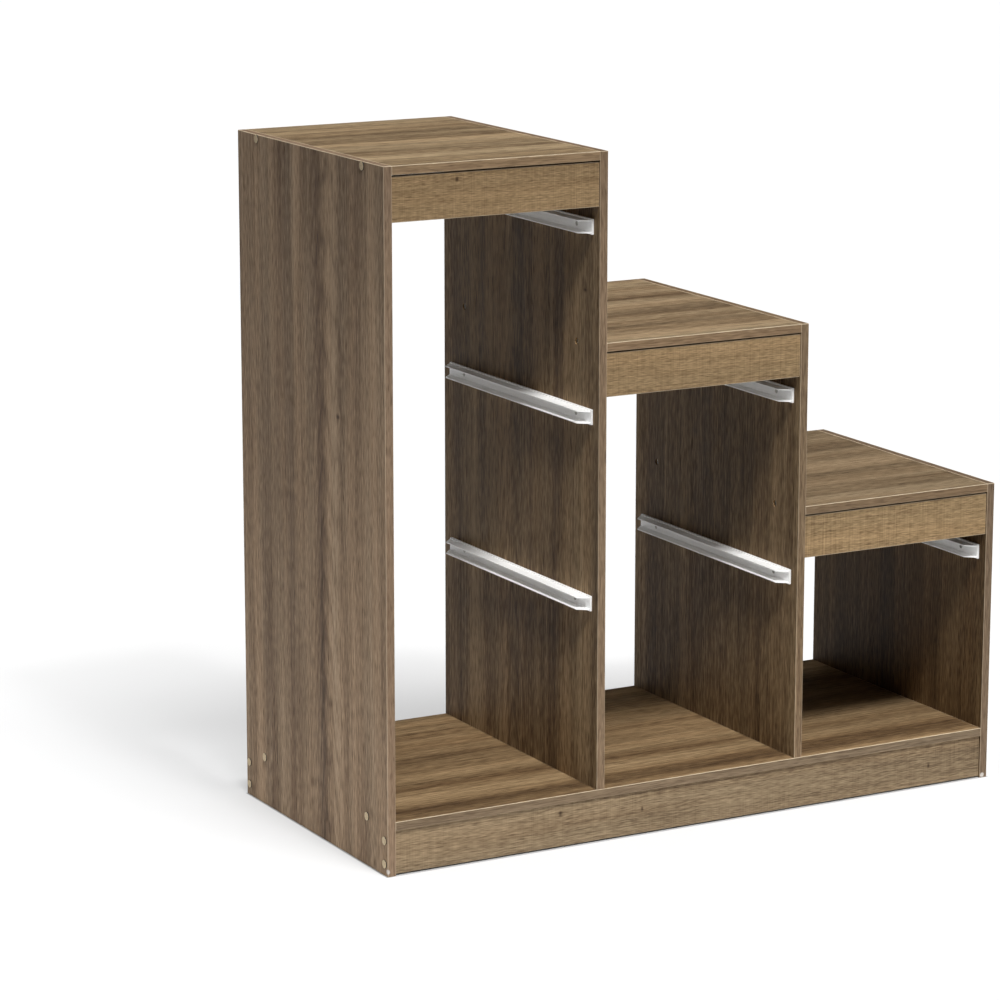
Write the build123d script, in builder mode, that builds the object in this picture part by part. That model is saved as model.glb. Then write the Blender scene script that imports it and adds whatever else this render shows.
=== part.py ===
"""Stepped open rack for slide-in storage bins: laminated boards, bin rails, screws, caps and dowels.

Millimetres. X runs along the front from the tall bay to the low bay, Y from front to back, Z up.
The origin is on the floor, in the middle of the rack's footprint.
"""
import os

from build123d import *

os.makedirs("parts", exist_ok=True)

# Boards
board = 12.0  # thickness of every board
arris = 0.5  # broken edge all round every board
depth = 436.0  # uprights, tops and bottom panel, front to back
bay_width = 305.0  # clear width between two uprights
tall_height = 940.0  # top of the tallest bay above the floor
step_height = 254.5  # drop from the top of one bay to the next
bay_names = ["tall", "middle", "low"]
upright_names = ["left_side_panel", "tall_partition", "middle_partition", "right_side_panel"]

# Bottom panel and plinths
bottom_height = 74.0  # upper face of the bottom panel above the floor
floor_gap = 2.0  # plinths stay clear of the floor
plinth_setback = 3.0  # plinth faces behind the board edges
plinth_screw_edge = 14.0  # plinth screws from the plinth's upper and lower edges

# Aprons under the tops
apron_height = 59.0
apron_gap = 2.0  # shadow gap between top and apron
apron_setback = 2.0  # apron faces behind the board edges

# Bin rails: a flat web on the wall, with two flanges that reach into the bay
rail_drop = 91.0  # upper edge of a rail below the bay top that it belongs to
rail_apron_gap = 2.0  # one end of a rail from the apron there
rail_slack = 5.0  # further gap at its other end
rail_height = 20.5
rail_web = 3.0
rail_reach = 18.0  # from the wall to the free edges of the flanges
rail_flange = 1.7
rail_lip = 1.5  # web edges stand past the flanges
rail_mitre = 12.0  # the flanges' free edges stop short of the web at the end by the apron
rail_deep_mitre = 16.0  # and further short of it at the other end
rail_round = 0.4  # rounded rim of the flanges
rail_screw_near = 40.0  # one rail screw from the end by the apron
rail_screw_far = 43.0  # the other from the other end, so that screws on both faces of a wall miss each other

# Assembly screws with flat-bottomed heads
screw_inset = 60.0  # from the front and back edges of the boards
screw_length = 38.0  # under the head
shank_radius = 2.5
head_margin = 1.0  # heads are this much smaller than the stems of the caps, in radius
head_height = 2.5
bare_recess = 2.0  # uncapped heads lie this far under the face
head_clearance = 0.3
shank_clearance = 0.1
pilot_spare = 1.0  # pilot holes go on past the screw's point
point_length = 4.0
drive_width = 1.1  # cross recess in the heads
drive_margin = 1.2
drive_depth = 1.0

# Caps over the screws on outer faces
cap_edge = 0.2  # board left between a cap and the board's edge
cap_overlap = 0.8  # the disc of a cap covers the edge of its hole
cap_seat = 1.5  # stem of a cap below the face, on the screw head
cap_proud = 1.2
cap_clearance = 0.2
cap_round = 0.5

# Rail screws
rail_head_radius = 3.2
rail_head_height = 1.5  # flush with the inside of the web
rail_shank_radius = 1.75
rail_screw_skin = 3.0  # board left behind the pilot hole
rail_point_length = 2.5

# Dowels at the apron ends
dowel_share = 0.5  # dowel diameter as a share of the board's thickness
dowel_pitch = 32.0
dowel_skin = 5.0  # board left behind the dowel hole in the upright
dowel_in_apron = 14.0
dowel_chamfer = 0.8
dowel_end_gap = 0.5  # glue room at the apron end
dowel_clearance = 0.1

# Places that follow from these sizes
front, back = -depth / 2, depth / 2
bay_count = len(bay_names)
total_width = bay_count * bay_width + (bay_count + 1) * board
wall_left = [-total_width / 2 + i * (bay_width + board) for i in range(bay_count + 1)]
wall_right = [x + board for x in wall_left]
bay_tops = [tall_height - i * step_height for i in range(bay_count)]
plinth_top = bottom_height - board
plinth_y = {"front": front + plinth_setback + board / 2, "rear": back - plinth_setback - board / 2}
apron_y = {"front": front + apron_setback + board / 2, "rear": back - apron_setback - board / 2}
rail_end_gap = apron_setback + board + rail_apron_gap
left_rail_ends = (front + rail_end_gap + rail_slack, back - rail_end_gap)
cap_radius = board / 2 - cap_edge
cap_stem = cap_radius - cap_overlap
head_radius = cap_stem - head_margin
head_hole = head_radius + head_clearance
cap_hole = cap_stem + cap_clearance
shank_hole = shank_radius + shank_clearance
rail_shank_hole = rail_shank_radius + shank_clearance
capped_seat = cap_seat + head_height
bare_seat = bare_recess + head_height
screw_depths = [front + screw_inset, back - screw_inset]
pilot_depth = screw_length - board + max(capped_seat, bare_seat) + pilot_spare
rail_pilot = board - rail_screw_skin
dowel_radius = dowel_share * board / 2
dowel_hole = dowel_radius + dowel_clearance
dowel_socket = board - dowel_skin


def write(piece, name):
    """Label a finished piece and write it under its own name."""
    piece.part.label = name
    export_step(piece.part, f"parts/{name}.step")


def wall_planes(x, facing, points):
    """Planes at (y, z) points of a face square to X, looking out of it: -1 faces left, 1 faces right."""
    return [Plane(origin=(x, y, z), z_dir=(facing, 0, 0)) for y, z in points]


def end_planes(x_left, x_right, points):
    """The same points on both ends of a board that lies along X."""
    return wall_planes(x_left, -1, points) + wall_planes(x_right, 1, points)


def sunk(planes, amount):
    """The same planes, moved into the material."""
    return [plane.offset(-amount) for plane in planes]


def screw_row(z):
    """One screw near the front and one near the back, at one height."""
    return [(y, z) for y in screw_depths]


def plinth_points():
    """Two screws, one above the other, in the end of each plinth."""
    heights = (floor_gap + plinth_screw_edge, plinth_top - plinth_screw_edge)
    return [(y, z) for y in plinth_y.values() for z in heights]


def dowel_points(y, bay):
    """Two dowels, one above the other, in the end of an apron."""
    middle = bay_tops[bay] - board - apron_gap - apron_height / 2
    return [(y, middle - dowel_pitch / 2), (y, middle + dowel_pitch / 2)]


def rail_screw_points(facing, rail_top):
    """The two screws of a rail on a wall face: a rail that faces left is turned end for end."""
    z = rail_top - rail_height / 2
    front_end, back_end = left_rail_ends
    return [(facing * y, z) for y in (front_end + rail_screw_far, back_end - rail_screw_near)]


# Which fixings go into which upright, counted from the left
base_points = screw_row(bottom_height - board / 2) + plinth_points()
capped = [[] for _ in wall_left]
bare = [[] for _ in wall_left]
dowel_sockets = [[] for _ in wall_left]
rail_pilots = [[] for _ in wall_left]
capped[0] += wall_planes(wall_left[0], -1, base_points)
capped[-1] += wall_planes(wall_right[-1], 1, base_points)
for bay, bay_top in enumerate(bay_tops):
    top_row = screw_row(bay_top - board / 2)
    left_screws = capped if bay == 0 else bare
    left_screws[bay] += wall_planes(wall_left[bay], -1, top_row)
    capped[bay + 1] += wall_planes(wall_right[bay + 1], 1, top_row)
    for y in apron_y.values():
        dowel_sockets[bay] += wall_planes(wall_right[bay], 1, dowel_points(y, bay))
        dowel_sockets[bay + 1] += wall_planes(wall_left[bay + 1], -1, dowel_points(y, bay))
    for level_top in bay_tops[bay:]:
        rail_top = level_top - rail_drop
        rail_pilots[bay] += wall_planes(wall_right[bay], 1, rail_screw_points(1, rail_top))
        rail_pilots[bay + 1] += wall_planes(wall_left[bay + 1], -1, rail_screw_points(-1, rail_top))


def upright(name, index, foot, head, foot_screws):
    """A side panel or partition between two heights, drilled for everything that it carries."""
    with BuildPart() as panel:
        with BuildSketch(Plane.YZ.offset(wall_left[index])):
            with Locations((0, (foot + head) / 2)):
                Rectangle(depth, head - foot)
        extrude(amount=board)
        chamfer(panel.edges(), arris)
        if capped[index]:
            with Locations(*capped[index]):
                CounterBoreHole(shank_hole, cap_hole, capped_seat, board)
        if bare[index]:
            with Locations(*bare[index]):
                CounterBoreHole(shank_hole, head_hole, bare_seat, board)
        with Locations(*dowel_sockets[index]):
            Hole(dowel_hole, dowel_socket)
        with Locations(*rail_pilots[index]):
            Hole(rail_shank_hole, rail_pilot)
        if foot_screws:
            with Locations(*foot_screws):
                Hole(shank_hole, pilot_depth)
    write(panel, name)


def cross_board(name, span, y_middle, width, heights, end_holes, foot_screws=()):
    """A board that lies along X between two uprights, from one height to another, drilled in both ends."""
    x_left, x_right = span
    z_low, z_high = heights
    end_points, end_hole, end_depth = end_holes
    with BuildPart() as panel:
        with BuildSketch(Plane.XY.offset(z_low)):
            with Locations(((x_left + x_right) / 2, y_middle)):
                Rectangle(x_right - x_left, width)
        extrude(amount=z_high - z_low)
        chamfer(panel.edges(), arris)
        with Locations(*end_planes(x_left, x_right, end_points)):
            Hole(end_hole, end_depth)
        if foot_screws:
            with Locations(*foot_screws):
                CounterBoreHole(shank_hole, head_hole, bare_seat, board)
    write(panel, name)


# Uprights: the side panels stand on the floor, the partitions on the bottom panel
partition_screws = [[] for _ in wall_left]
for index, upright_name in enumerate(upright_names):
    inner = 0 < index < bay_count
    if inner:
        x = wall_left[index] + board / 2
        partition_screws[index] = [Plane(origin=(x, y, plinth_top), z_dir=(0, 0, -1)) for y in screw_depths]
    foot = bottom_height if inner else 0
    upright(upright_name, index, foot, bay_tops[max(index - 1, 0)], sunk(partition_screws[index], board))
all_partition_screws = sum(partition_screws, [])

# Bottom panel and plinths, in one length between the side panels
full_span = (wall_right[0], wall_left[-1])
pilots = (screw_row(bottom_height - board / 2), shank_hole, pilot_depth)
cross_board("bottom_panel", full_span, 0, depth, (plinth_top, bottom_height), pilots, all_partition_screws)
for place, y in plinth_y.items():
    pilots = ([point for point in plinth_points() if point[0] == y], shank_hole, pilot_depth)
    cross_board(f"{place}_plinth", full_span, y, board, (floor_gap, plinth_top), pilots)

# A top for each bay, with an apron under its front and its rear
for bay, bay_name in enumerate(bay_names):
    span = (wall_right[bay], wall_left[bay + 1])
    top_low = bay_tops[bay] - board
    pilots = (screw_row(bay_tops[bay] - board / 2), shank_hole, pilot_depth)
    cross_board(f"{bay_name}_top", span, 0, depth, (top_low, bay_tops[bay]), pilots)
    apron_top = top_low - apron_gap
    apron_heights = (apron_top - apron_height, apron_top)
    for place, y in apron_y.items():
        sockets = (dowel_points(y, bay), dowel_hole, dowel_in_apron)
        cross_board(f"{bay_name}_{place}_apron", span, y, board, apron_heights, sockets)

# Bin rail, made once for the left-hand walls: web face on X = 0, upper edge at Z = 0
front_end, back_end = left_rail_ends
with BuildPart() as rail:
    with BuildSketch(Plane.XY):
        with Locations((rail_web / 2, (front_end + back_end) / 2)):
            Rectangle(rail_web, back_end - front_end)
    extrude(amount=-rail_height)
    for flange_low in (-rail_lip - rail_flange, rail_lip - rail_height):
        with BuildSketch(Plane.XY.offset(flange_low)):
            with BuildLine():
                Polyline(
                    (rail_web, front_end),
                    (rail_reach, front_end + rail_deep_mitre),
                    (rail_reach, back_end - rail_mitre),
                    (rail_web, back_end),
                    close=True,
                )
            make_face()
        extrude(amount=rail_flange)
    fillet(rail.edges().filter_by(Axis.Y).group_by(Axis.X)[-1], rail_round)
    with Locations(*wall_planes(rail_web, 1, rail_screw_points(1, 0))):
        CounterBoreHole(rail_shank_hole, rail_head_radius + head_clearance, rail_head_height, rail_web)

# A pair of rails for each bin: on the right-hand wall the rail is turned end for end
for bay, bay_name in enumerate(bay_names):
    for level, level_top in enumerate(bay_tops[bay:], start=1):
        rail_top = level_top - rail_drop
        places = {
            "left": Location((wall_right[bay], 0, rail_top)),
            "right": Location((wall_left[bay + 1], 0, rail_top), (0, 0, 180)),
        }
        for side, place in places.items():
            with BuildPart() as bin_rail:
                with Locations(place):
                    add(rail)
            write(bin_rail, f"{bay_name}_bay_rail_{side}_{level}")


def screw(head_r, head_h, shank_r, length, point):
    """A screw along Z, point down, with the underside of its head at Z = 0 and a cross recess on top."""
    with BuildPart() as body:
        with BuildSketch(Plane.XZ):
            with BuildLine():
                Polyline(
                    (0, head_h), (head_r, head_h), (head_r, 0), (shank_r, 0),
                    (shank_r, point - length), (0, -length), close=True,
                )
            make_face()
        revolve(axis=Axis.Z)
        with BuildSketch(Plane.XY.offset(head_h)):
            Rectangle(2 * (head_r - drive_margin), drive_width)
            Rectangle(drive_width, 2 * (head_r - drive_margin))
        extrude(amount=-drive_depth, mode=Mode.SUBTRACT)
    return body


def group(name, piece, planes):
    """Copies of one fastener on several planes, as separate solids of one node."""
    with BuildPart() as copies:
        with Locations(*planes):
            add(piece)
    write(copies, name)


# Assembly screws and their caps, by the upright that they go through
assembly_screw = screw(head_radius, head_height, shank_radius, screw_length, point_length)
with BuildPart() as cap:
    with BuildSketch(Plane.XY):
        Circle(cap_stem)
    extrude(amount=cap_seat)
    with BuildSketch(Plane.XY.offset(cap_seat)):
        Circle(cap_radius)
    extrude(amount=cap_proud)
    fillet(cap.faces().sort_by(Axis.Z)[-1].edges(), cap_round)
for index, upright_name in enumerate(upright_names):
    seats = sunk(capped[index], capped_seat) + sunk(bare[index], bare_seat)
    group(f"{upright_name}_screws", assembly_screw, seats)
    group(f"{upright_name}_caps", cap, sunk(capped[index], cap_seat))
group("partition_foot_screws", assembly_screw, sunk(all_partition_screws, bare_seat))

# Rail screws, with flush heads inside the rail webs
rail_seat = rail_web - rail_head_height
rail_hold = rail_seat + rail_pilot
rail_screw = screw(rail_head_radius, rail_head_height, rail_shank_radius, rail_hold, rail_point_length)
for bay, bay_name in enumerate(bay_names):
    seats = []
    for level_top in bay_tops[bay:]:
        rail_top = level_top - rail_drop
        seats += wall_planes(wall_right[bay] + rail_seat, 1, rail_screw_points(1, rail_top))
        seats += wall_planes(wall_left[bay + 1] - rail_seat, -1, rail_screw_points(-1, rail_top))
    group(f"{bay_name}_bay_rail_screws", rail_screw, seats)

# Dowels: their inner ends stand on the bottoms of the holes in the uprights
with BuildPart() as dowel:
    with BuildSketch(Plane.XY):
        Circle(dowel_radius)
    extrude(amount=dowel_socket + dowel_in_apron - dowel_end_gap)
    chamfer(dowel.edges().filter_by(GeomType.CIRCLE), dowel_chamfer)
for bay, bay_name in enumerate(bay_names):
    bottoms = []
    for y in apron_y.values():
        bottoms += sunk(wall_planes(wall_right[bay], 1, dowel_points(y, bay)), dowel_socket)
        bottoms += sunk(wall_planes(wall_left[bay + 1], -1, dowel_points(y, bay)), dowel_socket)
    group(f"{bay_name}_apron_dowels", dowel, bottoms)
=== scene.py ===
"""Looks of a stepped open rack for slide-in storage bins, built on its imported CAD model. Metres."""
import math

import bpy
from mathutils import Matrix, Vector


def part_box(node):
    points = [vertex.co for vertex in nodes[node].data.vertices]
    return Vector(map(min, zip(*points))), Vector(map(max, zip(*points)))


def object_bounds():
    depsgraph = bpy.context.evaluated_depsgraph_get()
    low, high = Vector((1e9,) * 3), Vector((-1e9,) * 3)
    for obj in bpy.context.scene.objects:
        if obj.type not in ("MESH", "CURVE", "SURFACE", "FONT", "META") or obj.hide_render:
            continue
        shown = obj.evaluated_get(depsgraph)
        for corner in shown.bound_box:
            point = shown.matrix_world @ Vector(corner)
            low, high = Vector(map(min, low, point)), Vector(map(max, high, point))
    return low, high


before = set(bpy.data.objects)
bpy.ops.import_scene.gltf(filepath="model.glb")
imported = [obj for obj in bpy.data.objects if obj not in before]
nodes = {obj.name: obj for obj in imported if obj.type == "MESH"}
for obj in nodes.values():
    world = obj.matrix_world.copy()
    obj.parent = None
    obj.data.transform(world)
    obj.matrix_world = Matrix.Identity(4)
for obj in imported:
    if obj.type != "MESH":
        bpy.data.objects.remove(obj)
cad_box = [list(corner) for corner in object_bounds()]

# Side panels and partitions
# Four upright chipboard panels faced with a wood-effect laminate whose grain runs up the board.
# A band of the same print is glued to their edges, and the screws go in through the faces.


class Value:
    """One output of a finish's nodes. Arithmetic on it adds Math nodes to the same finish."""

    def __init__(self, finish, socket):
        self.finish = finish
        self.socket = socket

    def __add__(self, other):
        return self.finish.math("ADD", self, other)

    def __sub__(self, other):
        return self.finish.math("SUBTRACT", self, other)

    def __rsub__(self, other):
        return self.finish.math("SUBTRACT", other, self)

    def __mul__(self, other):
        return self.finish.math("MULTIPLY", self, other)

    def __truediv__(self, other):
        return self.finish.math("DIVIDE", self, other)

    def __pow__(self, other):
        return self.finish.math("POWER", self, other)

    def __abs__(self):
        return self.finish.math("ABSOLUTE", self)

    def __neg__(self):
        return self * -1.0

    __radd__ = __add__
    __rmul__ = __mul__

    def least(self, other):
        return self.finish.math("MINIMUM", self, other)

    def most(self, other):
        return self.finish.math("MAXIMUM", self, other)

    def bell(self, width):
        """1 where the value is 0, falling to nothing over about two widths on each side."""
        scaled = self / width
        return self.finish.math("EXPONENT", -(scaled * scaled))

    def fade(self, start, end):
        """0 at start and 1 at end, with a smooth way between them."""
        sockets = {"Value": self, "From Min": start, "From Max": end}
        return self.finish.node("ShaderNodeMapRange", {"interpolation_type": "SMOOTHSTEP"}, sockets)


class Finish:
    """The nodes of a material, or of the world, with the shader that they feed."""

    def __init__(self, owner, shader="Principled BSDF"):
        owner.use_nodes = True
        self.owner = owner
        self.tree = owner.node_tree
        self.shader = self.tree.nodes[shader]

    def node(self, kind, settings=None, sockets=None, out=0):
        """Add one node: its settings first, then the values or links of its sockets."""
        made = self.tree.nodes.new(kind)
        for name, value in (settings or {}).items():
            if name == "stops":
                self.set_stops(made.color_ramp.elements, value)
            else:
                setattr(made, name, value)
        for name, value in (sockets or {}).items():
            self.feed(made.inputs[name], value)
        return Value(self, made.outputs[out])

    def set_stops(self, elements, stops):
        """Place the colours of a ramp."""
        while len(elements) < len(stops):
            elements.new(1.0)
        for element, (position, colour) in zip(elements, stops):
            element.position = position
            element.color = colour

    def feed(self, socket, value):
        """Link a value to a socket, or set the socket to a plain number or colour."""
        if isinstance(value, Value):
            self.tree.links.new(value.socket, socket)
        else:
            socket.default_value = value

    def math(self, operation, *values):
        """Arithmetic on values and numbers."""
        return self.node("ShaderNodeMath", {"operation": operation}, dict(enumerate(values)))

    def vector(self, operation, first, second, out="Vector"):
        """Arithmetic on two vectors."""
        return self.node("ShaderNodeVectorMath", {"operation": operation}, {0: first, 1: second}, out)

    def mix(self, amount, colour, other, blend="MIX"):
        """Mix two colours: other counts for more as amount goes from 0 to 1."""
        settings = {"data_type": "RGBA", "blend_type": blend}
        return self.node("ShaderNodeMix", settings, {0: amount, 6: colour, 7: other}, out=2)

    def noise(self, at, stretch, detail=2.0):
        """Cloudy noise from 0 to 1 about 0.5, with so many features per metre along each axis."""
        sockets = {"Vector": self.vector("MULTIPLY", at, stretch), "Scale": 1.0, "Detail": detail}
        return self.node("ShaderNodeTexNoise", {}, sockets)

    def bump(self, height, strength, distance):
        """The normal of a surface whose fine relief follows height."""
        sockets = {"Strength": strength, "Distance": distance, "Height": height}
        return self.node("ShaderNodeBump", {}, sockets)

    def place(self):
        """The point on the piece, as a vector and as its three coordinates."""
        point = self.node("ShaderNodeTexCoord", out="Object")
        split = self.node("ShaderNodeSeparateXYZ", {}, {0: point})
        return point, [Value(self, output) for output in split.socket.node.outputs]

    def dress(self, sockets):
        """Feed the sockets of the shader."""
        for name, value in sockets.items():
            self.feed(self.shader.inputs[name], value)

    def put_on(self, name):
        """Give the material to one piece."""
        nodes[name].material_slots[0].material = self.owner


def rgb(red, green, blue):
    """A colour from screen values of 0 to 255."""
    screen = [value / 255 for value in (red, green, blue)]
    return (*[v / 12.92 if v <= 0.04045 else ((v + 0.055) / 1.055) ** 2.4 for v in screen], 1.0)


grain_stops = [
    (0.00, rgb(69, 53, 39)),
    (0.30, rgb(108, 88, 66)),
    (0.50, rgb(137, 116, 89)),
    (0.72, rgb(162, 139, 109)),
    (1.00, rgb(190, 166, 133)),
]
cool_cast = rgb(252, 254, 254)
warm_cast = rgb(255, 253, 250)
pore_colour = rgb(50, 38, 29)
arris_wear_and_highlight_colour = rgb(212, 196, 171)
scuff_colour = rgb(214, 209, 202)
core_stops = [(0.0, rgb(112, 84, 54)), (0.5, rgb(168, 134, 92)), (1.0, rgb(206, 178, 134))]
core_flakes_per_metre = 520.0
skin = 0.0005  # a point this near to a side of the board's box lies on that side
arris_width = 0.0007  # how far in from a corner the edges are rubbed and carry a painted highlight
print_relief = 0.0003
grain_sway = 0.006
knot_reach = 2.2  # in radii of the knot
knot_depth = 0.5
streak_strength = 1.5
arch_pitch = 0.085
arch_bend = 4.5
arch_depth = 0.26
saw_marks_per_metre = 640.0


def laminate(
    board, axes, seed, tint, edge_tint, figure, grain, dashes,
    saw_marks=0.0, streaks=(), knots=(), heart=None, scuff=None, wear_and_highlight_below=0.0,
):
    """Wood-effect print on one board.

    axes names the directions along the grain, across it and through the board. tint colours the faces and
    edge_tint the edge bands. figure and grain are the strengths of the broad and the fine marks, and dashes
    how many long lines and short pores a metre holds along the grain, and how many lines across it.
    saw_marks is the strength of fine marks across the grain. A streak is its place across the grain, its
    width and its depth: below 0 it is paler than the rest. A knot is its place along and across the grain
    and its radius, heart the place and the width of a flat-sawn figure, and a scuff its place and its
    radius. The last argument is how much the edges that face down also get the lighter colour of the
    rubbed edges, which is partly wear and partly a painted highlight.
    """
    finish = Finish(bpy.data.materials.new(f"{board}_laminate"))
    low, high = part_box(board)
    point, places = finish.place()
    order = ["xyz".index(letter) for letter in axes]
    along, across, through = [places[i] for i in order]
    inside = [(places[i] - low[i]).least(high[i] - places[i]) for i in range(3)]

    # the edge bands follow the length of the edge that they are glued to
    band = inside[order[2]].fade(0.8 * skin, 1.2 * skin)
    end = band * inside[order[0]].fade(1.2 * skin, 0.8 * skin)
    run = along + (across - along) * end
    rise = across + (through - across) * band

    # each face of the board has its own stretch of the print
    middle = (low[order[2]] + high[order[2]]) / 2
    face = (through - middle).fade(-skin, skin) * (1 - band)
    layer = seed + face * 5.0

    # the grain gives way around knots and sways a little by itself
    for knot_along, knot_across, knot_radius in knots:
        wide = knot_reach * knot_radius
        away = across - knot_across
        reach = ((along - knot_along) * 0.5).bell(wide) * away.bell(wide)
        rise = rise - away * reach * 0.7
    straight = finish.node("ShaderNodeCombineXYZ", {}, {0: run, 1: rise, 2: layer})
    sway = finish.noise(straight, (2.2, 9.0, 1.0)) - 0.5
    rise = rise + sway * grain_sway * (1 - band)
    fibre = finish.node("ShaderNodeCombineXYZ", {}, {0: run, 1: rise, 2: layer})

    def marks(along_count, across_count, detail=2.0):
        """Noise about 0, with so many features per metre along the grain and across it."""
        return finish.noise(fibre, (along_count, across_count, 1.0), detail) - 0.5

    # broad figure, which the edge bands hardly show, and fine lines and pores
    broad = 1 - band * 0.85
    bands = marks(0.9, 19.0) * broad
    streaky = marks(1.5, 62.0, 3.0) * broad
    patches = marks(3.5, 11.0)
    line_along, pore_along, fine_across = dashes
    flecks = marks(4.0, 150.0)
    lines = marks(line_along, fine_across)
    hairs = marks(pore_along, 1.6 * fine_across, 1.0)
    pores = marks(0.8 * pore_along, 1.5 * fine_across, 1.0).fade(0.07, 0.17)
    tone = 0.5 + (bands * 0.75 + streaky * 0.45 + patches * 0.12) * figure
    tone = tone + (flecks * 0.15 + lines * 0.6 + hairs * 0.9) * grain * (1 - band * 0.4)

    # flat-sawn figure: nested arches along one line of the board
    if heart:
        heart_along, heart_across, heart_width = heart
        off = rise - heart_across
        phase = (along - heart_along + off * off * (arch_bend / heart_width)) / arch_pitch + bands * 5.0
        arches = (finish.math("SINE", phase * (2 * math.pi)) * 0.5 + 0.5) ** 3.0
        tone = tone - arches * off.bell(heart_width) * (lines + 0.7) * arch_depth * (1 - band)
    if streaks:
        pull = sum((rise - centre).bell(width) * depth for centre, width, depth in streaks)
        tone = tone - pull * streak_strength * (patches + 0.9).most(0.0) * (1 - band)
    if saw_marks:
        sawn = marks(saw_marks_per_metre, 9.0, 1.0) * (patches * 2.0 + 0.5).most(0.0)
        tone = tone + sawn * saw_marks * (1 - band)
    for knot_along, knot_across, knot_radius in knots:
        eye_along = (along - knot_along).bell(0.7 * knot_radius)
        eye_across = (across - knot_across).bell(1.2 * knot_radius)
        tone = tone - eye_along * eye_across * knot_depth * (1 - face)

    colour = finish.node("ShaderNodeValToRGB", {"stops": grain_stops}, {0: tone})
    warmth = marks(1.2, 26.0, 1.0).fade(-0.14, 0.14)
    colour = finish.mix(1.0, colour, finish.mix(warmth, cool_cast, warm_cast), "MULTIPLY")
    shade = finish.mix(band, rgb(*tint), rgb(*edge_tint))
    colour = finish.mix(1.0, colour, shade, "MULTIPLY")
    colour = finish.mix(pores * (0.35 * grain), colour, pore_colour)

    # rubbed edges, lighter from wear and from a painted highlight that is strongest on edges facing up, and
    # raw chipboard in the drilled holes and under the board's feet
    first, second, third = inside
    rim = first.least(second).most(first.most(second).least(third))
    wear_and_highlight_noise = finish.noise(point, (90.0, 90.0, 90.0)) * 0.6 + 0.45
    # the lighter edge colour is wear and a painted highlight: full on edges that face up, less on side
    # edges, none facing down
    facing = finish.node("ShaderNodeNewGeometry", out="Normal")
    upward = finish.node("ShaderNodeSeparateXYZ", {}, {0: facing}, out="Z").fade(-0.5, 0.6)
    arris = rim.fade(1.4 * arris_width, 0.6 * arris_width) * wear_and_highlight_noise * upward.most(wear_and_highlight_below)
    colour = finish.mix(arris, colour, arris_wear_and_highlight_colour)
    if scuff:
        scuff_place, scuff_radius = scuff
        offset = finish.vector("DISTANCE", point, scuff_place, out="Value")
        ragged = offset + (wear_and_highlight_noise - 0.75) * scuff_radius
        rubbed = ragged.fade(1.2 * scuff_radius, 0.6 * scuff_radius)
        colour = finish.mix(rubbed * 0.65, colour, scuff_colour)
    flakes = finish.node("ShaderNodeTexVoronoi", {}, {"Vector": point, "Scale": core_flakes_per_metre})
    chips = finish.node("ShaderNodeValToRGB", {"stops": core_stops}, {0: flakes * 0.9})
    bare = first.least(second).least(third).fade(1.2 * skin, 1.6 * skin)
    if axes[0] == "z":
        bare = bare + (places[2] - low[2]).fade(0.6 * skin, 0.3 * skin) * band
    colour = finish.mix(bare, colour, chips)

    finish.dress({
        "Base Color": colour,
        "Specular IOR Level": 0.1,
        "Roughness": 0.50 - lines * 0.25 + pores * 0.2,
        "Normal": finish.bump(lines * 0.5 + hairs * 0.5 - pores, 0.22, print_relief),
    })
    finish.put_on(board)


upright_dashes = (5.0, 60.0, 380.0)
left_streaks = [
    (-0.155, 0.016, 0.10), (-0.072, 0.014, -0.10), (-0.026, 0.016, 0.16),
    (0.066, 0.017, 0.12), (0.129, 0.008, 0.08), (0.172, 0.025, -0.07),
]
laminate(
    "left_side_panel", "zyx", seed=3.1, tint=(255, 250, 253), edge_tint=(235, 232, 245),
    figure=1.05, grain=0.9, dashes=upright_dashes, streaks=left_streaks,
    knots=[(0.594, -0.082, 0.004)], heart=(0.35, -0.05, 0.05),
    scuff=((-0.4815, -0.217, 0.007), 0.0036),
)
partition_streaks = [
    (-0.105, 0.014, 0.12), (-0.03, 0.02, 0.09), (0.03, 0.014, -0.05), (0.15, 0.02, -0.06),
]
laminate(
    "tall_partition", "zyx", seed=11.7, tint=(232, 226, 217), edge_tint=(228, 224, 231),
    figure=1.25, grain=1.15, dashes=upright_dashes, streaks=partition_streaks,
    knots=[(0.752, -0.180, 0.003)], heart=(0.5, 0.02, 0.05),
)
laminate(
    "middle_partition", "zyx", seed=23.4, tint=(226, 220, 210), edge_tint=(223, 220, 222),
    figure=1.25, grain=1.15, dashes=upright_dashes,
)
laminate(
    "right_side_panel", "zyx", seed=37.9, tint=(196, 184, 167), edge_tint=(199, 197, 206),
    figure=1.25, grain=1.15, dashes=upright_dashes,
    scuff=((0.4737, -0.218, 0.004), 0.0036),
)

# Bottom panel and plinths
# The bottom panel runs in one length between the side panels and carries both partitions.
# A plinth board under its front and rear edges closes the base. The print runs along them.
level_dashes = (6.0, 50.0, 420.0)
bottom_streaks = [
    (-0.185, 0.014, 0.12), (-0.13, 0.014, -0.08), (-0.095, 0.014, 0.09), (-0.052, 0.016, -0.1),
    (0.032, 0.015, 0.13), (0.121, 0.018, 0.14), (0.19, 0.016, -0.08),
]
laminate(
    "bottom_panel", "xyz", seed=41.3, tint=(243, 236, 225), edge_tint=(214, 217, 227),
    figure=1.0, grain=0.95, dashes=level_dashes, streaks=bottom_streaks,
)
plinth_dashes = (9.0, 70.0, 600.0)
front_plinth_knots = [(-0.219, 0.048, 0.0033), (-0.091, 0.036, 0.0024), (0.382, 0.030, 0.0024)]
for place, plinth_seed, plinth_knots in (("front", 53.8, front_plinth_knots), ("rear", 58.2, ())):
    laminate(
        f"{place}_plinth", "xzy", seed=plinth_seed, tint=(241, 244, 248), edge_tint=(225, 228, 238),
        figure=0.7, grain=0.85, dashes=plinth_dashes, saw_marks=0.4, knots=plinth_knots,
    )

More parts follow.
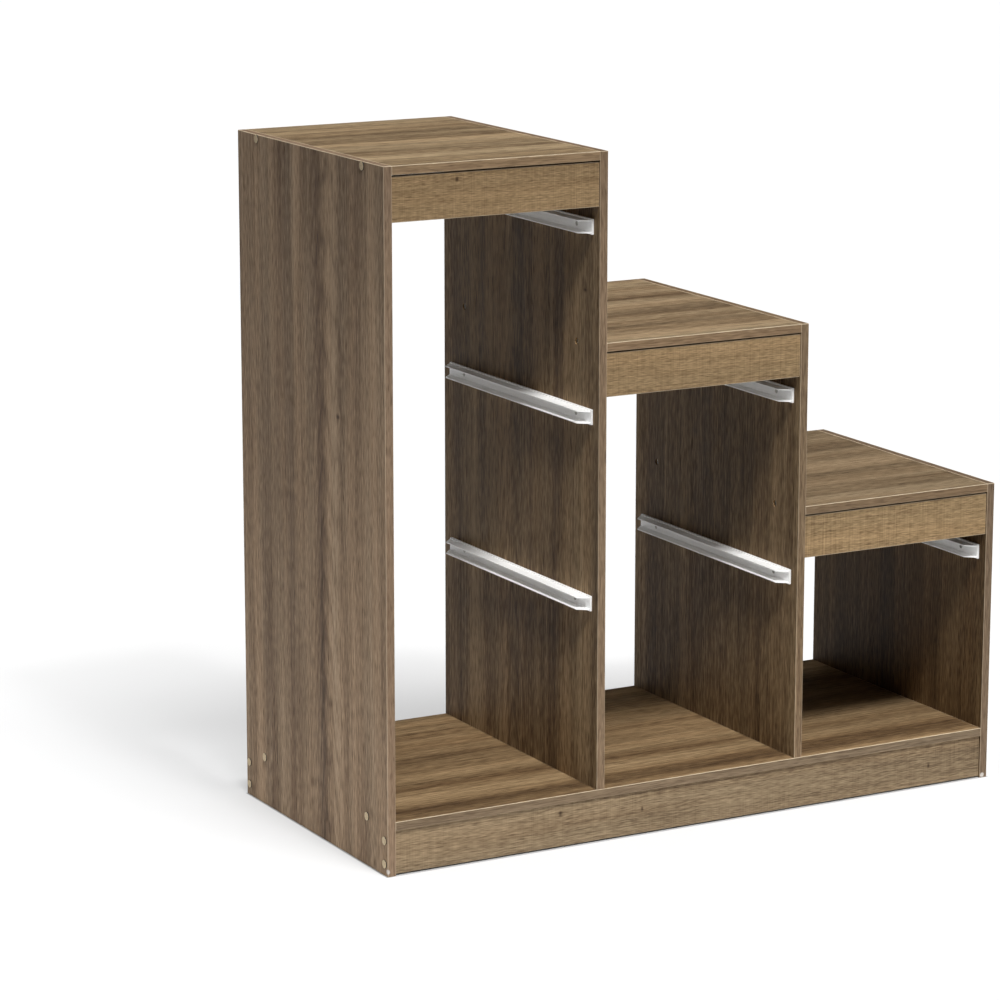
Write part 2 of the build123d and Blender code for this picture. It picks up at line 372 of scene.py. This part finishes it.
# Tops and aprons
# Each bay is closed by a top that lies flush between its uprights, screwed through them into its ends.
# An apron, set back a little, is dowelled in under its front and rear edges. The print runs along the bay.
top_streaks = {
    "tall": [
        (-0.14, 0.024, -0.12), (-0.085, 0.013, 0.09), (-0.035, 0.015, -0.09), (0.028, 0.02, 0.15),
        (0.08, 0.008, 0.12), (0.143, 0.012, -0.08), (0.172, 0.012, 0.1),
    ],
    "middle": [
        (-0.185, 0.022, -0.15), (-0.125, 0.012, 0.14), (-0.04, 0.012, 0.1), (0.038, 0.012, -0.09),
        (0.082, 0.016, 0.13),
    ],
    "low": [
        (-0.19, 0.018, -0.14), (-0.134, 0.012, 0.16), (-0.076, 0.01, -0.07), (-0.048, 0.012, 0.1),
        (0.0, 0.018, -0.07), (0.096, 0.014, 0.14),
    ],
}
top_tints = {"tall": (253, 255, 255), "middle": (241, 242, 243), "low": (218, 219, 221)}
top_edge_tints = {"tall": (250, 246, 245), "middle": (238, 233, 233), "low": (216, 212, 213)}
apron_dashes = (14.0, 100.0, 640.0)
apron_knots = {"tall_front_apron": [(-0.375, 0.917, 0.0028)]}
for bay_number, bay in enumerate(top_streaks):
    laminate(
        f"{bay}_top", "xyz", seed=61.5 + 7.3 * bay_number, tint=top_tints[bay],
        edge_tint=top_edge_tints[bay], figure=0.85, grain=1.0, dashes=level_dashes,
        streaks=top_streaks[bay],
    )
    for edge_number, place in enumerate(("front", "rear")):
        apron = f"{bay}_{place}_apron"
        apron_seed = 83.1 + 5.7 * bay_number + 2.1 * edge_number
        laminate(
            apron, "xzy", seed=apron_seed, tint=(255, 250, 238), edge_tint=(235, 232, 230),
            figure=0.55, grain=0.8, dashes=apron_dashes, saw_marks=0.5,
            knots=apron_knots.get(apron, ()), wear_and_highlight_below=0.7,
        )

# Bin rails
# White moulded channels, screwed to the bay walls in facing pairs. The rim of a bin slides in between
# their flanges. The plastic is satin, with faint flow marks along it and a little dust.
rail_white = rgb(250, 250, 249)
rail_shade = rgb(240, 240, 237)
rail_dust = rgb(170, 166, 158)


def rail_finish(rail):
    """Satin white plastic that lets a little light through."""
    finish = Finish(bpy.data.materials.new(f"{rail}_plastic"))
    point, _ = finish.place()
    flow = finish.noise(point, (160.0, 7.0, 160.0))
    specks = finish.noise(point, (420.0, 420.0, 420.0))
    colour = finish.mix(flow.fade(0.35, 0.75) * 0.6, rail_white, rail_shade)
    colour = finish.mix(specks.fade(0.62, 0.78) * 0.25, colour, rail_dust)
    finish.dress({
        "Base Color": colour,
        "Subsurface Weight": 0.3,
        "Subsurface Radius": (1.0, 1.0, 1.0),
        "Subsurface Scale": 0.004,
        "Roughness": 0.38 + specks * 0.12,
        "Normal": finish.bump(specks, 0.12, 0.0002),
    })
    finish.put_on(rail)


for name in nodes:
    if "_bay_rail_left" in name or "_bay_rail_right" in name:
        rail_finish(name)

# Screws
# Zinc-plated steel screws with cross recesses: long ones hold the boards together, short ones the rails.
# Their heads stay in sight in the rails, and in the recesses that have no cap.
zinc_dull = rgb(168, 166, 160)
zinc_bright = rgb(206, 204, 198)


def screw_finish(name):
    """Dull zinc plating with clouds in it and a fine rough skin."""
    finish = Finish(bpy.data.materials.new(f"{name}_zinc"))
    point, _ = finish.place()
    clouds = finish.noise(point, (240.0, 240.0, 240.0), 3.0)
    grit = finish.noise(point, (2600.0, 2600.0, 2600.0), 1.0)
    finish.dress({
        "Base Color": finish.mix(clouds.fade(0.3, 0.7), zinc_dull, zinc_bright),
        "Metallic": 1.0,
        "Roughness": 0.30 + clouds * 0.2,
        "Normal": finish.bump(grit, 0.15, 0.0001),
    })
    finish.put_on(name)


for name in nodes:
    if name.endswith("_screws"):
        screw_finish(name)

# Screw caps
# Small moulded discs of tan plastic, each pressed by its stem into the recess over a screw head.
# They stand a little proud of the panel, and their sides are painted almost black as painted shade.
cap_dark_tan = rgb(178, 157, 122)
cap_pale_tan = rgb(196, 175, 138)
cap_side_painted_shade = rgb(30, 23, 18)
# below these heights the side of a cap is painted almost black, as painted shade
cap_side_height = 0.0010
cap_disc_height = 0.00115


def cap_finish(name, panel):
    """Matt tan plastic on the disc, with painted shade on its side where it meets the panel."""
    finish = Finish(bpy.data.materials.new(f"{name}_plastic"))
    low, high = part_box(panel)
    point, (x, _, _) = finish.place()
    proud = (low.x - x).most(x - high.x)
    clouds = finish.noise(point, (500.0, 500.0, 500.0), 3.0)
    colour = finish.mix(clouds.fade(0.3, 0.7), cap_dark_tan, cap_pale_tan)
    finish.dress({
        # the side below the disc gets the painted shade
        "Base Color": finish.mix(proud.fade(cap_disc_height, cap_side_height), colour, cap_side_painted_shade),
        "Roughness": 0.55 + clouds * 0.15,
        "Normal": finish.bump(clouds, 0.2, 0.0002),
    })
    finish.put_on(name)


for name in nodes:
    if name.endswith("_caps"):
        cap_finish(name, name.removesuffix("_caps"))

# Dowels
# Turned beech pins, glued into blind holes in the ends of the aprons and in the faces of the uprights.
# They are out of sight once the rack is together.
beech_dark = rgb(206, 172, 130)
beech_pale = rgb(222, 190, 148)
beech_fleck = rgb(150, 108, 70)


def dowel_finish(name):
    """Pale beech with short dark flecks along the pin."""
    finish = Finish(bpy.data.materials.new(f"{name}_beech"))
    point, _ = finish.place()
    flecks = finish.noise(point, (130.0, 1400.0, 1400.0))
    clouds = finish.noise(point, (40.0, 200.0, 200.0))
    colour = finish.mix(clouds.fade(0.3, 0.7), beech_dark, beech_pale)
    finish.dress({
        "Base Color": finish.mix(flecks.fade(0.58, 0.72) * 0.6, colour, beech_fleck),
        "Roughness": 0.6 + flecks * 0.2,
        "Normal": finish.bump(flecks, 0.2, 0.0002),
    })
    finish.put_on(name)


for name in nodes:
    if name.endswith("_dowels"):
        dowel_finish(name)

# Studio floor
# A plain pale paper sheet that the rack stands on. It glows a little, apart from the rack's own footprint.
# A wide sheet of the same paper carries on under it, and throws no light back on the rack.
paper_dark = (0.37, 0.37, 0.37, 1.0)
paper_pale = (0.39, 0.39, 0.39, 1.0)
paper_glow = 0.40
unlit = (0.0, 0.0, 0.0, 1.0)
glowing = (1.0, 1.0, 1.0, 1.0)
floor_finish = Finish(bpy.data.materials.new("studio_floor_paper"))
floor_point, (floor_x, floor_y, _) = floor_finish.place()
floor_tone = floor_finish.noise(floor_point, (3.0, 3.0, 3.0))
half_width, half_depth, _ = cad_box[1]
beside = (abs(floor_x) - half_width).most(abs(floor_y) - half_depth).fade(0.0, 0.002)
floor_finish.dress({
    "Base Color": floor_finish.mix(floor_tone, paper_dark, paper_pale),
    "Roughness": 0.9,
    "Specular IOR Level": 0.1,
    "Emission Color": floor_finish.mix(beside, unlit, glowing),
    "Emission Strength": paper_glow,
})


def floor_sheet(name, left, right, front, back, height):
    """A level rectangle about the rack."""
    corners = [(left, front), (right, front), (right, back), (left, back)]
    mesh = bpy.data.meshes.new(name)
    mesh.from_pydata([(x, y, height) for x, y in corners], [], [(0, 1, 2, 3)])
    mesh.materials.append(floor_finish.owner)
    sheet = bpy.data.objects.new(name, mesh)
    bpy.context.scene.collection.objects.link(sheet)
    return sheet


floor = floor_sheet("studio_floor", left=-1.35, right=1.2, front=-1.1, back=0.95, height=0.0)
ground = floor_sheet("studio_ground", left=-30.0, right=30.0, front=-30.0, back=30.0, height=-0.001)
ground.visible_diffuse = False

# Light
# A soft key from high in front, wide light from overhead, and low fills from the front and from the left.
# Far lamps of their own lift the floor, the rails, the partitions and the rack's rear and right faces.
white = (1.0, 1.0, 1.0)


def lamp(name, kind, power, direction, tint):
    """A lamp that shines in one direction and isn't seen itself."""
    data = bpy.data.lights.new(name, kind)
    data.energy = power
    data.color = tint
    made = bpy.data.objects.new(name, data)
    made.rotation_euler = Vector(direction).to_track_quat("-Z", "Y").to_euler()
    made.visible_camera = False
    bpy.context.scene.collection.objects.link(made)
    return made


def panel_lamp(name, power, direction, place, size, tint=white):
    """A flat lamp near the rack."""
    made = lamp(name, "AREA", power, direction, tint)
    made.location = place
    made.data.shape = "RECTANGLE"
    made.data.size, made.data.size_y = size


def far_lamp(name, power, direction, spread, pieces=(), past_others=False, tint=white):
    """A far lamp that looks so many degrees wide.

    Its light can be kept to some pieces. The rest still throw shadows on them, unless it shines past them.
    """
    made = lamp(name, "SUN", power, direction, tint)
    made.data.angle = math.radians(spread)
    if not pieces:
        return
    group = bpy.data.collections.new(f"{name}_pieces")
    for piece in pieces:
        group.objects.link(piece)
    made.light_linking.receiver_collection = group
    if past_others:
        made.light_linking.blocker_collection = group


rack = list(nodes.values())
sheets = [floor, ground]
rails_and_screws = [nodes[name] for name in nodes if "_bay_rail_" in name]
partitions = [nodes["tall_partition"], nodes["middle_partition"]]
all_but_front = [nodes[name] for name in nodes if "front" not in name]
far_lamp("key", power=3.4, direction=(0.19, 0.57, -1.0), spread=12, pieces=rack)
far_lamp("floor_key", power=3.95, direction=(0.0, 0.60, -1.0), spread=32, pieces=sheets)
far_lamp("overhead", power=1.3, direction=(0.0, 0.0, -1.0), spread=40)
far_lamp("floor_glow", power=0.7, direction=(-0.08, 0.85, -1.0), spread=5, pieces=sheets)
far_lamp("rail_glow", power=0.42, direction=(0.2, 0.9, -0.9), spread=25, pieces=rails_and_screws)
for side, across in (("left", 0.9), ("right", -0.9)):
    far_lamp(
        f"rail_fill_{side}", power=0.5, direction=(across, 0.2, -0.15), spread=40,
        pieces=rails_and_screws, past_others=True,
    )
far_lamp(
    "wall_glow", power=0.15, direction=(0.8, -0.6, -0.25), spread=50,
    pieces=partitions, tint=(0.97, 0.98, 1.06),
)
far_lamp("rear_fill", power=1.2, direction=(0.0, -1.0, 0.09), spread=10, pieces=all_but_front)
far_lamp("right_fill", power=0.8, direction=(-1.0, 0.0, 0.0), spread=10, pieces=rack)
panel_lamp(
    "front_fill", power=36.0, direction=(-0.3, 1.0, 0.0), place=(1.2, -3.4, 0.25), size=(1.6, 0.5),
)
panel_lamp(
    "left_fill", power=2.1, direction=(1.0, 0.0, 0.0), place=(-1.55, 0.0, 0.16), size=(0.9, 0.3),
    tint=(0.87, 0.98, 1.22),
)

# the surround is white where the camera sees it, and gives only a little light
surround_light = 0.02
studio = bpy.data.worlds.new("studio")
bpy.context.scene.world = studio
surround = Finish(studio, "Background")
seen = surround.node("ShaderNodeLightPath", out="Is Camera Ray")
surround.dress({"Color": (*white, 1.0), "Strength": seen.most(surround_light)})
bpy.context.scene.view_settings.view_transform = "Standard"

# Camera
# A long lens from the front left, looking down on the rack.
# Its focal length is in pixels of a picture so many pixels wide.
picture_width = 1000
focal_pixels = 3821.4
camera_yaw = 0.5012
camera_pitch = 0.2183
camera = bpy.data.objects.new("camera", bpy.data.cameras.new("camera"))
camera.location = (-2.6592, -4.4995, 1.5740)
camera.rotation_euler = (math.pi / 2 - camera_pitch, 0, -camera_yaw)
camera.data.lens = camera.data.sensor_width * focal_pixels / picture_width
bpy.context.scene.collection.objects.link(camera)
bpy.context.scene.camera = camera
